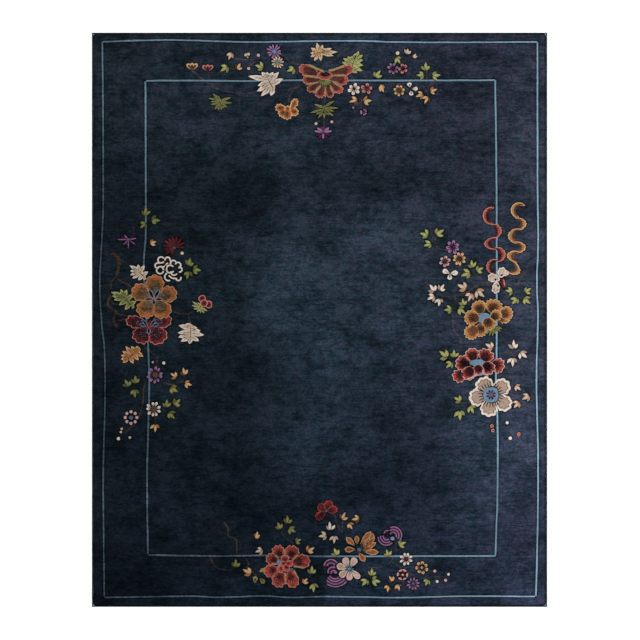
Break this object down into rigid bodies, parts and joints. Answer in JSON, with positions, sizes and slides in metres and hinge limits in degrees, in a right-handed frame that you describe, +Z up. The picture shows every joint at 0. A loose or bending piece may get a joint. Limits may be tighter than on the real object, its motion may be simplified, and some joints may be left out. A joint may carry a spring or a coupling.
{
  "type": "chinese art deco rug",
  "caption": "Flat rectangular hand-knotted wool rug with a clipped pile, overcast side cords and narrow woven end bands; navy ground, thin blue border lines and floral sprays.",
  "frame": {"origin": "middle of the underside, on the floor", "axes": "+Z up from the floor; +Y along the warps towards the end with the fan-shaped peony; +X across the rug, to the right as seen from above with +Y away"},
  "size_m": [2.74, 3.456, 0.011],
  "materials": {
    "navy_wool_pile": "hand-knotted wool pile, clipped, soft lustre, light abrash, with inlaid coloured flowers",
    "navy_wool_overcast": "wool yarn wrapped side by side round a cord",
    "navy_woven_web": "plain flat weave, dull"
  },
  "bodies": {
    "root": {"knotted_body": "navy_wool_pile", "side_cord_left": "navy_wool_overcast", "side_cord_right": "navy_wool_overcast", "end_band_top": "navy_woven_web", "end_band_bottom": "navy_woven_web"}
  },
  "joints": []
}
